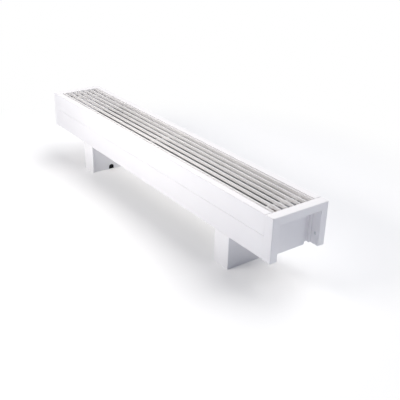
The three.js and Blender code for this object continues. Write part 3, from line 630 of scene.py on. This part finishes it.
def end_plate(node):
    """The recessed end plate, pressed with a channel at each side of its middle."""
    x0, x1, _, edge, z0, z1 = extent(node)
    out = 1 if x1 > 0 else -1
    face = x1 if out > 0 else x0
    flange = x0 if out > 0 else x1
    channel_out = cad_box[1].y - FRAME_FACE - PLATE_LAND
    channel_in = channel_out - PLATE_CHANNEL
    back = face - out * PLATE_CHANNEL_DEPTH
    half = [(face, channel_out), (back, channel_out), (back, channel_in), (face, channel_in)]
    front = [(x, -y) for x, y in half]
    path = [(flange, -edge), (face, -edge), *front, *half[::-1], (face, edge), (flange, edge)]
    radii = [0, PLATE_BEND, PLATE_BEND, PLATE_BEND, 0, PLATE_SHOULDER]
    radii = radii + radii[::-1]
    surface = rounded([(x, y, 0) for x, y in path], radii)
    outline = folded([point.to_2d() for point in surface], SHEET * out)
    piece = to_object(f"{node}_sheet", prism("z", outline, z0, z1))
    reliefs = []
    for side in (-1, 1):
        hem = side * (cad_box[1].y - HEM_WIDTH)
        outside = side * (cad_box[1].y + MM)
        seam = out * (cad_box[1].x - FRAME_DEPTH)
        beyond = flange - out * MM
        reliefs.append(bar(
            min(beyond, seam), max(beyond, seam), min(hem, outside), max(hem, outside),
            z0 - MM, z0 + HEM_CLEARANCE, 0,
        ))
    combine(piece, reliefs)
    smooth(piece, 30)
    bevel = piece.modifiers.new("edges", "BEVEL")
    bevel.width = CUT_EDGE
    bevel.segments = 2
    bevel.limit_method = "ANGLE"
    bevel.angle_limit = math.radians(50)
    flat_normals(piece)
    return dress(piece, node, "white_lacquer")


def pan_screw(node):
    """Pan-head screw across the stile, with its cross recess and thread."""
    x0, x1, y0, y1, z0, z1 = extent(node)
    u, v = (z0 + z1) / 2, (x0 + x1) / 2
    side = 1 if y1 > 0 else -1
    tip = y1 if side > 0 else y0
    top = y0 if side > 0 else y1
    head, height, shank = SCREW_HEAD_R, SCREW_HEAD_HEIGHT, SCREW_SHANK_R
    seat = top + side * height
    angles = [math.radians(10 * k) for k in range(8)]
    profile = [(top + side * height * (1 - math.cos(t)), head * math.sin(t)) for t in angles]
    profile += [(top + side * height * 0.7, head), (seat, head), (seat, shank)]
    for k in range(int(abs(tip - seat) / SCREW_PITCH)):
        root = seat + side * (k + 0.2) * SCREW_PITCH
        profile += [(root, shank * 0.8), (root + side * SCREW_PITCH / 2, shank)]
    profile += [(tip - side * 0.8 * MM, shank * 0.8), (tip, 0.2 * MM)]
    piece = to_object(f"{node}_finished", lathe("y", profile, u, v, 32))
    half, reach = SCREW_RECESS_HALF, head * 0.5
    low, high = sorted((top - side * MM, top + side * SCREW_RECESS_DEPTH))
    recess = [
        bar(v - reach, v + reach, low, high, u - half, u + half, 0),
        bar(v - half, v + half, low, high, u - reach, u + reach, 0),
    ]
    combine(piece, recess)
    smooth(piece)
    return dress(piece, node, "zinc")


def add_casing():
    """The two panels, and each end's frame and plate with its brackets and screws."""
    for node in ("front_panel", "rear_panel"):
        casing_panel(node)
    for end in ("near", "far"):
        mitred_frame(f"end_frame_{end}")
        end_plate(f"end_plate_{end}")
        for side in ("front", "rear"):
            sheet_piece(f"joint_bracket_{end}_{side}", "zinc")
            pan_screw(f"frame_screw_{end}_{side}")


# ---------------------------------------------------------------- grille
def add_grille():
    """The slats and the crossbars under them, each with its edges rounded."""
    for node in frame["nodes"]:
        if node.startswith("grille_slat_"):
            piece = to_object(f"{node}_bar", bar(*extent(node), SLAT_EDGE))
            # Painted shade: the slats take the white lacquer made darker.
            painted_light_copy = GRILLE_PAINTED_SHADE
        elif node.startswith("grille_crossbar_"):
            piece = to_object(f"{node}_bar", bar(*extent(node), CROSSBAR_EDGE, 3))
            # Painted light: the crossbars take the white lacquer made lighter.
            painted_light_copy = CROSSBAR_PAINTED_LIGHT
        else:
            continue
        smooth(piece)
        dress(piece, node, "white_lacquer", painted_light_copy)


# ---------------------------------------------------------------- heat exchanger
def add_fin_pack(axes):
    """Round-cornered fins in a row, and the collars through which the tubes on the axes pass."""
    x0, x1, y0, y1, z0, z1 = extent("fin_pack")
    width, height = (y1 - y0) / 2 - FIN_CORNER, (z1 - z0) / 2 - FIN_CORNER
    z = (z0 + z1) / 2
    outline = []
    for quarter, (sy, sz) in enumerate(((1, 1), (-1, 1), (-1, -1), (1, -1))):
        for k in range(5):
            turn = (quarter + k / 4) * math.pi / 2
            outline.append((
                sy * width + FIN_CORNER * math.cos(turn),
                z + sz * height + FIN_CORNER * math.sin(turn),
            ))
    piece = to_object("fin_pack_finned", prism("x", outline, x0, x0 + FIN_THICKNESS))
    bores = [prism("x", circle(COLLAR_R, 24, y, z), x0 - MM, x0 + MM) for y in axes]
    combine(piece, bores)
    count = int((x1 - x0 - FIN_THICKNESS) / FIN_PITCH) + 1
    copies = piece.modifiers.new("fins", "ARRAY")
    copies.count = count
    copies.use_relative_offset = False
    copies.use_constant_offset = True
    copies.constant_offset_displace = (FIN_PITCH, 0, 0)
    dress(piece, "fin_pack", "aluminium")
    for side, y in zip(("supply", "return"), axes):
        collar = to_object(
            f"fin_collars_{side}",
            tube("x", x0, x1, COLLAR_R + 0.1 * MM, TUBE_R + 0.1 * MM, y, z),
        )
        smooth(collar)
        collar.data.materials.append(FINISHES["aluminium"])
        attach(collar, frame["nodes"]["fin_pack"]["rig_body"])


def add_return_bend():
    """Copper bend between the tubes' ends, with a socket on each."""
    _, _, y0, y1, z0, z1 = extent("return_bend")
    z = (z0 + z1) / 2
    spacing = (y1 - y0) / 2 - TUBE_R
    tube_end = extent("tube_supply")[1]
    turns = 36
    arc = [
        Vector((tube_end + spacing * math.cos(t), spacing * math.sin(t), z))
        for t in (math.pi * (k / turns - 0.5) for k in range(turns + 1))
    ]
    lead = [Vector((tube_end - d, -spacing, z)) for d in (SOCKET_DEPTH, 0.3 * MM)]
    tail = [Vector((point.x, spacing, z)) for point in lead[::-1]]
    points = lead + arc + tail
    count = len(points)
    outer = [TUBE_R] * count
    inner = [TUBE_BORE_R] * count
    for i in range(4):
        outer[i] = outer[-1 - i] = SOCKET_R
    for i in range(2):
        inner[i] = inner[-1 - i] = TUBE_R + 0.05 * MM
    piece = to_object("return_bend_swept", sweep(points, outer, inner))
    smooth(piece, 40)
    dress(piece, "return_bend", "copper")


def add_exchanger():
    """Two copper tubes with their fins and return bend, carried on a support at each end."""
    axes = []
    for side in ("supply", "return"):
        node = f"tube_{side}"
        x0, x1, y0, y1, z0, z1 = extent(node)
        axes.append((y0 + y1) / 2)
        piece = to_object(
            f"{node}_drawn", tube("x", x0, x1, TUBE_R, TUBE_BORE_R, axes[-1], (z0 + z1) / 2),
        )
        smooth(piece)
        dress(piece, node, "copper")
    add_fin_pack(axes)
    add_return_bend()
    for end in ("near", "far"):
        sheet_piece(f"exchanger_support_{end}", "zinc")


# ---------------------------------------------------------------- valves and pipe tails
def hexagon(radius, u, v):
    """Points of a hexagon, by the radius of its corners."""
    return circle(radius, 6, u, v)


def union_nut(node):
    """Hexagon nut with both ends chamfered, bored for its tube."""
    x0, x1, y0, y1, z0, z1 = extent(node)
    y, z = (y0 + y1) / 2, (z0 + z1) / 2
    radius = max(y1 - y0, z1 - z0) / 2
    piece = to_object(f"{node}_turned", prism("x", hexagon(radius, y, z), x0, x1))
    flat = radius * math.cos(math.pi / 6)
    shape = [
        (x0, flat - 0.4 * MM), (x0 + NUT_CHAMFER, radius + 0.3 * MM),
        (x1 - NUT_CHAMFER, radius + 0.3 * MM), (x1, flat - 0.4 * MM),
    ]
    combine(piece, [lathe("x", shape, y, z, 48)], "INTERSECT")
    combine(piece, [prism("x", circle(TUBE_R + 0.15 * MM, 32, y, z), x0 - MM, x1 + MM)])
    smooth(piece, 25)
    return dress(piece, node, "nickel")


def valve_body(node, spindle_r):
    """Angle valve body: turned barrel with a collar and thread, and the inlet below it."""
    x0, x1, y0, y1, z0, z1 = extent(node)
    y = (y0 + y1) / 2
    nut = "valve_union_nut" if node == "valve_body" else "lockshield_union_nut"
    barrel_end = extent(nut)[0] - 2 * MM
    radius = (y1 - y0) / 2
    z = (extent(nut)[4] + extent(nut)[5]) / 2
    neck, waist = radius - 1.6 * MM, radius - 0.9 * MM
    profile = [
        (x0, radius - 2.2 * MM), (x0 + 0.6 * MM, neck), (x0 + 7 * MM, neck),
        (x0 + 8 * MM, radius - 0.4 * MM), (x0 + 9 * MM, radius), (x0 + 14 * MM, radius),
        (x0 + 15 * MM, waist), (barrel_end - 8 * MM, waist),
        (barrel_end - 7 * MM, radius), (barrel_end - 1 * MM, radius),
        (barrel_end, radius - 0.8 * MM), (barrel_end + 0.1 * MM, PORT_R), (x1, PORT_R),
    ]
    piece = to_object(f"{node}_turned", lathe("x", profile, y, z, 40))
    middle = (x0 + barrel_end) / 2
    stub = [(z0, 9.2 * MM), (z0 + 0.8 * MM, INLET_R)]
    for k in range(5):
        ridge = z0 + (2 + 1.3 * k) * MM
        stub += [(ridge, INLET_R), (ridge + 0.65 * MM, 9.3 * MM)]
    stub += [(z0 + 9.2 * MM, INLET_R), (z0 + 10 * MM, PORT_R), (z, PORT_R)]
    joined = [lathe("z", stub, middle, y, 40)]
    has_vent = z1 > z + radius + MM
    if has_vent:
        vent = extent("air_vent_screw")
        u = (vent[0] + vent[1]) / 2
        boss = [(z, VENT_BOSS_R), (z1 - 0.6 * MM, VENT_BOSS_R), (z1, VENT_BOSS_R - 0.6 * MM)]
        joined.append(lathe("z", boss, u, y, 32))
    combine(piece, joined, "UNION")
    bores = [
        prism("x", circle(spindle_r + 0.15 * MM, 24, y, z), x0 - MM, x0 + SPINDLE_BORE),
        prism("x", circle(TUBE_BORE_R, 24, y, z), middle, x1 + MM),
        prism("z", circle(TUBE_BORE_R, 24, middle, y), z0 - MM, z - 2 * MM),
    ]
    if has_vent:
        bores.append(prism("z", circle(VENT_BORE_R, 24, u, y), vent[4] - 0.2 * MM, z1 + MM))
    combine(piece, bores)
    smooth(piece)
    return dress(piece, node, "nickel")


def slotted_screw(node, axis, name, slot_along):
    """Round brass screw with a driver slot across its end."""
    low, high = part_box(node)
    first, second, along = AXES[axis]
    u = (low[first] + high[first]) / 2
    v = (low[second] + high[second]) / 2
    radius = (high[first] - low[first]) / 2
    out = -1 if axis == "x" else 1
    tip = low[along] if out < 0 else high[along]
    root = high[along] if out < 0 else low[along]
    chamfer = 0.5 * MM
    profile = [
        (tip, radius - chamfer), (tip - out * chamfer, radius),
        (root + out * chamfer, radius), (root, radius - chamfer),
    ]
    piece = to_object(name, lathe(axis, profile, u, v, 32))
    half, depth = 0.6 * MM, 1.6 * MM
    wide = 2 * radius
    ends = sorted((tip + out * MM, tip - out * depth))
    corners = [[u - wide, u + wide], [v - half, v + half], ends]
    if slot_along == "v":
        corners = [[u - half, u + half], [v - wide, v + wide], ends]
    spans = [None, None, None]
    for place, span in zip((first, second, along), corners):
        spans[place] = span
    combine(piece, [bar(*spans[0], *spans[1], *spans[2], 0)])
    smooth(piece)
    return dress(piece, node, "brass")


def hand_knob():
    """Ribbed hand knob with a dished face, a skirt and a bore over the valve's neck."""
    x0, x1, y0, y1, z0, z1 = extent("valve_knob")
    y, z = (y0 + y1) / 2, (z0 + z1) / 2
    radius = (z1 - z0) / 2
    bore_r = KNOB_BORE_R
    bore_end = extent("valve_pin")[0] - 0.3 * MM
    profile = [(x0 + 0.9 * MM, 0), (x0 + 0.9 * MM, radius * 0.5), (x0, radius * 0.62)]
    profile += [(x0, radius * 0.72), (x0 + 0.8 * MM, radius * 0.82), (x0 + 2.6 * MM, radius * 0.93)]
    ribbed = range(len(profile), len(profile) + 3)
    profile += [(x0 + 4.5 * MM, radius), (x1 - 6 * MM, radius), (x1 - 5 * MM, radius * 0.99)]
    profile += [(x1 - 4.5 * MM, radius * 0.95), (x1 - 4 * MM, radius * 0.99)]
    profile += [(x1 - 0.5 * MM, radius), (x1, radius - 0.5 * MM)]
    profile += [(x1, bore_r + 0.4 * MM), (x1 - 0.4 * MM, bore_r), (bore_end, bore_r), (bore_end, 0)]
    knob = lathe("x", profile, y, z, 180, 30, 1.1 * MM, ribbed)
    piece = to_object("valve_knob_moulded", knob)
    smooth(piece, 40)
    dress(piece, "valve_knob", "white_plastic")


def lockshield_cap():
    """Ribbed hollow cap over the lockshield's spindle."""
    x0, x1, y0, y1, z0, z1 = extent("lockshield_cap")
    y, z = (y0 + y1) / 2, (z0 + z1) / 2
    radius = (z1 - z0) / 2
    hollow = radius - CAP_WALL
    profile = [(x0 + 0.6 * MM, 0), (x0, radius * 0.55), (x0 + 0.5 * MM, radius * 0.8)]
    profile += [(x0 + 1.6 * MM, radius * 0.93)]
    ribbed = range(len(profile), len(profile) + 2)
    profile += [(x0 + 2.6 * MM, radius), (x1 - 3 * MM, radius)]
    profile += [(x1 - 2.6 * MM, radius * 0.97), (x1 - 2.2 * MM, radius), (x1 - 0.3 * MM, radius)]
    profile += [(x1, radius - 0.3 * MM), (x1, hollow)]
    profile += [(x0 + CAP_WALL, hollow), (x0 + CAP_WALL, 0)]
    cap = lathe("x", profile, y, z, 144, 24, 0.7 * MM, ribbed)
    piece = to_object("lockshield_cap_moulded", cap)
    smooth(piece, 40)
    dress(piece, "lockshield_cap", "white_plastic")


def valve_pin():
    """Push pin with a rounded tip."""
    x0, x1, y0, y1, z0, z1 = extent("valve_pin")
    y, z = (y0 + y1) / 2, (z0 + z1) / 2
    radius = (z1 - z0) / 2
    profile = [(x0, radius * 0.3), (x0 + 0.3 * MM, radius * 0.75)]
    profile += [(x0 + 0.9 * MM, radius), (x1, radius)]
    piece = to_object("valve_pin_turned", lathe("x", profile, y, z, 24))
    smooth(piece)
    dress(piece, "valve_pin", "zinc")


def pipe_tail(side):
    """Bent copper tail from under a valve, along the casing and down through the foot."""
    node = f"pipe_tail_{side}"
    x0, x1, y0, y1, z0, z1 = extent(node)
    y = (y0 + y1) / 2
    left, right = x0 + TUBE_R, x1 - TUBE_R
    run = z1 - TAIL_BEND - MM
    corners = [(left, y, z1), (left, y, run), (right, y, run), (right, y, z0)]
    path = rounded(corners, [0, TAIL_BEND * 0.98, TAIL_BEND * 0.98, 0], 10)
    piece = to_object(f"{node}_bent", sweep(path, TUBE_R, TUBE_BORE_R))
    smooth(piece, 40)
    dress(piece, node, "copper")


def add_valves():
    """The supply's valve and the return's lockshield, with their nuts, trims and pipe tails."""
    union_nut("valve_union_nut")
    union_nut("lockshield_union_nut")
    valve_body("valve_body", PIN_R)
    valve_body("lockshield_body", SPINDLE_R)
    valve_pin()
    hand_knob()
    lockshield_cap()
    slotted_screw("lockshield_spindle", "x", "lockshield_spindle_turned", "v")
    slotted_screw("air_vent_screw", "z", "air_vent_screw_turned", "u")
    pipe_tail("supply")
    pipe_tail("return")


# ---------------------------------------------------------------- feet
def hex_bolt(node):
    """Hexagon bolt with a chamfered head, a washer face and its thread."""
    x0, x1, y0, y1, z0, z1 = extent(node)
    x, y = (x0 + x1) / 2, (y0 + y1) / 2
    radius = max(x1 - x0, y1 - y0) / 2
    seat = z1 - BOLT_HEAD
    shank = BOLT_SHANK_R
    piece = to_object(f"{node}_turned", prism("z", hexagon(radius, x, y), seat + 0.6 * MM, z1))
    flat = radius * math.cos(math.pi / 6)
    shape = [(seat, radius + MM), (z1 - 0.9 * MM, radius + 0.2 * MM), (z1, flat - 0.3 * MM)]
    combine(piece, [lathe("z", shape, x, y, 48)], "INTERSECT")
    thread = [(z0, shank * 0.7), (z0 + 0.6 * MM, shank * 0.86)]
    count = int((seat - z0 - 1.6 * MM) / BOLT_PITCH)
    for k in range(count):
        ridge = z0 + (0.8 + k) * BOLT_PITCH
        thread += [(ridge, shank * 0.86), (ridge + BOLT_PITCH / 2, shank)]
    thread += [(seat, shank), (seat, flat + 0.2 * MM), (seat + 0.7 * MM, flat + 0.2 * MM)]
    combine(piece, [lathe("z", thread, x, y, 32)], "UNION")
    smooth(piece, 25)
    return dress(piece, node, "zinc")


def grommet():
    """Rubber grommet in the side plate's pipe opening, with rounded edges."""
    piece = to_object("pipe_grommet_moulded", clean_copy("pipe_grommet"))
    bevel = piece.modifiers.new("edges", "BEVEL")
    bevel.width = 0.4 * MM
    bevel.segments = 3
    bevel.limit_method = "ANGLE"
    bevel.angle_limit = math.radians(50)
    smooth(piece, 40)
    dress(piece, "pipe_grommet", "black_rubber")


def add_feet():
    """Two box feet: cover and side plate outside, pedestal, bridge and bolts inside."""
    for side in ("left", "right"):
        # Painted light: the cover and the side plate take the white lacquer made lighter.
        sheet_piece(f"foot_cover_{side}", "white_lacquer", painted_light_copy=FOOT_PAINTED_LIGHT)
        sheet_piece(f"foot_plate_{side}", "white_lacquer", painted_light_copy=FOOT_PAINTED_LIGHT)
        sheet_piece(
            f"foot_pedestal_{side}", "zinc", f"foot_pedestal_{side}_welded",
            thickness=PEDESTAL_SHEET, inner=0.2 * MM, cut=0.3 * MM,
        )
        sheet_piece(f"foot_bridge_{side}", "zinc", thickness=BRIDGE_SHEET)
        for number in (1, 2):
            hex_bolt(f"foot_bolt_{side}_{number}")
    grommet()


# ---------------------------------------------------------------- studio
FLOOR_SIZE = 40.0
FLOOR_COLOR = (0.915, 0.94, 0.985)      # what the floor gives back to the object
FLOOR_SHOWN = (0.88, 0.88, 0.882)       # diffuse share that shows the shadow
FLOOR_GLOW = 0.13
FLOOR_FADE = (0.65, 1.15)               # distances over which the floor turns to the white studio
AMBIENT_COLOR = (0.45, 0.6, 1.0)
AMBIENT = 0.11
KEY_PLACE = (-0.08, -0.98, 0.72)
KEY_AIM = (-0.08, 0.0, 0.12)
KEY_SIZE = (0.8, 0.2)
KEY_POWER = 8.6
KEY_COLOR = (1.0, 0.965, 0.915)
BACK_DIRECTION = (0.0, 0.62, 0.79)      # towards the wide light behind and above
BACK_ANGLE = 70
BACK_STRENGTH = 3.15
BACK_COLOR = (1.0, 0.985, 0.965)


def seen_rays(tree):
    """1 for camera, glossy and transmission rays, which show the white studio."""
    paths = tree.nodes.new("ShaderNodeLightPath")
    total = paths.outputs["Is Camera Ray"]
    for kind in ("Is Glossy Ray", "Is Transmission Ray"):
        either = tree.nodes.new("ShaderNodeMath")
        either.operation = "MAXIMUM"
        tree.links.new(total, either.inputs[0])
        tree.links.new(paths.outputs[kind], either.inputs[1])
        total = either.outputs[0]
    return total


def add_world():
    """White where it is seen, and a faint cool light on the object."""
    world = bpy.data.worlds.new("studio")
    bpy.context.scene.world = world
    world.use_nodes = True
    tree = world.node_tree
    tree.nodes.clear()
    ambient = tree.nodes.new("ShaderNodeBackground")
    ambient.inputs["Color"].default_value = (*AMBIENT_COLOR, 1)
    ambient.inputs["Strength"].default_value = AMBIENT
    white = tree.nodes.new("ShaderNodeBackground")
    white.inputs["Color"].default_value = (1, 1, 1, 1)
    mix = tree.nodes.new("ShaderNodeMixShader")
    output = tree.nodes.new("ShaderNodeOutputWorld")
    tree.links.new(seen_rays(tree), mix.inputs["Fac"])
    tree.links.new(ambient.outputs["Background"], mix.inputs[1])
    tree.links.new(white.outputs["Background"], mix.inputs[2])
    tree.links.new(mix.outputs["Shader"], output.inputs["Surface"])


def floor_material():
    """A pale floor that shows the shadow and turns to the white studio away from the object."""
    material = bpy.data.materials.new("studio_floor")
    material.use_nodes = True
    tree = material.node_tree
    tree.nodes.clear()
    plain = tree.nodes.new("ShaderNodeBsdfDiffuse")
    plain.inputs["Color"].default_value = (*FLOOR_COLOR, 1)
    shown = tree.nodes.new("ShaderNodeBsdfDiffuse")
    shown.inputs["Color"].default_value = (*FLOOR_SHOWN, 1)
    glow = tree.nodes.new("ShaderNodeEmission")
    glow.inputs["Strength"].default_value = FLOOR_GLOW
    both = tree.nodes.new("ShaderNodeAddShader")
    white = tree.nodes.new("ShaderNodeEmission")
    distance = tree.nodes.new("ShaderNodeVectorMath")
    distance.operation = "LENGTH"
    fade = tree.nodes.new("ShaderNodeMapRange")
    fade.interpolation_type = "SMOOTHSTEP"
    fade.inputs["From Min"].default_value, fade.inputs["From Max"].default_value = FLOOR_FADE
    faded = tree.nodes.new("ShaderNodeMixShader")
    mix = tree.nodes.new("ShaderNodeMixShader")
    output = tree.nodes.new("ShaderNodeOutputMaterial")
    tree.links.new(shown.outputs["BSDF"], both.inputs[0])
    tree.links.new(glow.outputs["Emission"], both.inputs[1])
    tree.links.new(coordinates(tree), distance.inputs[0])
    tree.links.new(distance.outputs["Value"], fade.inputs["Value"])
    tree.links.new(fade.outputs["Result"], faded.inputs["Fac"])
    tree.links.new(both.outputs["Shader"], faded.inputs[1])
    tree.links.new(white.outputs["Emission"], faded.inputs[2])
    tree.links.new(seen_rays(tree), mix.inputs["Fac"])
    tree.links.new(plain.outputs["BSDF"], mix.inputs[1])
    tree.links.new(faded.outputs["Shader"], mix.inputs[2])
    tree.links.new(mix.outputs["Shader"], output.inputs["Surface"])
    return material


def add_floor():
    """The studio floor, which isn't part of the object."""
    bm = bmesh.new()
    bmesh.ops.create_grid(bm, x_segments=1, y_segments=1, size=FLOOR_SIZE / 2)
    floor = to_object("studio_floor", bm)
    floor.data.materials.append(floor_material())


def add_softbox(name, place, aim, size, power, color):
    """A rectangular area light at a place, turned to its aim."""
    light = bpy.data.lights.new(name, "AREA")
    light.shape = "RECTANGLE"
    light.size, light.size_y = size
    light.energy = power
    light.color = color
    lamp = bpy.data.objects.new(name, light)
    lamp.location = place
    direction = Vector(aim) - Vector(place)
    lamp.rotation_euler = direction.to_track_quat("-Z", "Y").to_euler()
    lamp.visible_glossy = False
    bpy.context.scene.collection.objects.link(lamp)


def add_wide_light(name, direction, angle, strength, color):
    """A far light as wide as the angle that it is seen under, which gives soft shadows."""
    light = bpy.data.lights.new(name, "SUN")
    light.angle = math.radians(angle)
    light.energy = strength
    light.color = color
    lamp = bpy.data.objects.new(name, light)
    lamp.rotation_euler = Vector(direction).to_track_quat("Z", "Y").to_euler()
    lamp.visible_glossy = False
    bpy.context.scene.collection.objects.link(lamp)


def add_camera():
    """The photo's view, from its place, direction and roll."""
    azimuth, elevation, roll = (
        math.radians(angle) for angle in (CAMERA_AZIMUTH, CAMERA_ELEVATION, CAMERA_ROLL)
    )
    ahead = Vector((
        -math.sin(azimuth) * math.cos(elevation),
        math.cos(azimuth) * math.cos(elevation),
        -math.sin(elevation),
    ))
    level = ahead.cross(Vector((0, 0, 1))).normalized()
    upright = level.cross(ahead)
    right = level * math.cos(roll) + upright * math.sin(roll)
    up = upright * math.cos(roll) - level * math.sin(roll)
    data = bpy.data.cameras.new("camera")
    data.lens = CAMERA_LENS
    data.sensor_width = CAMERA_SENSOR
    camera = bpy.data.objects.new("camera", data)
    axes = Matrix((right, up, -ahead)).transposed().to_4x4()
    camera.matrix_world = Matrix.Translation(CAMERA_PLACE) @ axes
    bpy.context.scene.collection.objects.link(camera)
    bpy.context.scene.camera = camera


add_casing()
add_grille()
add_exchanger()
add_valves()
add_feet()
add_world()
add_floor()
add_softbox("key_softbox", KEY_PLACE, KEY_AIM, KEY_SIZE, KEY_POWER, KEY_COLOR)
add_wide_light("back_light", BACK_DIRECTION, BACK_ANGLE, BACK_STRENGTH, BACK_COLOR)
add_camera()

bpy.context.scene.view_settings.view_transform = "Standard"
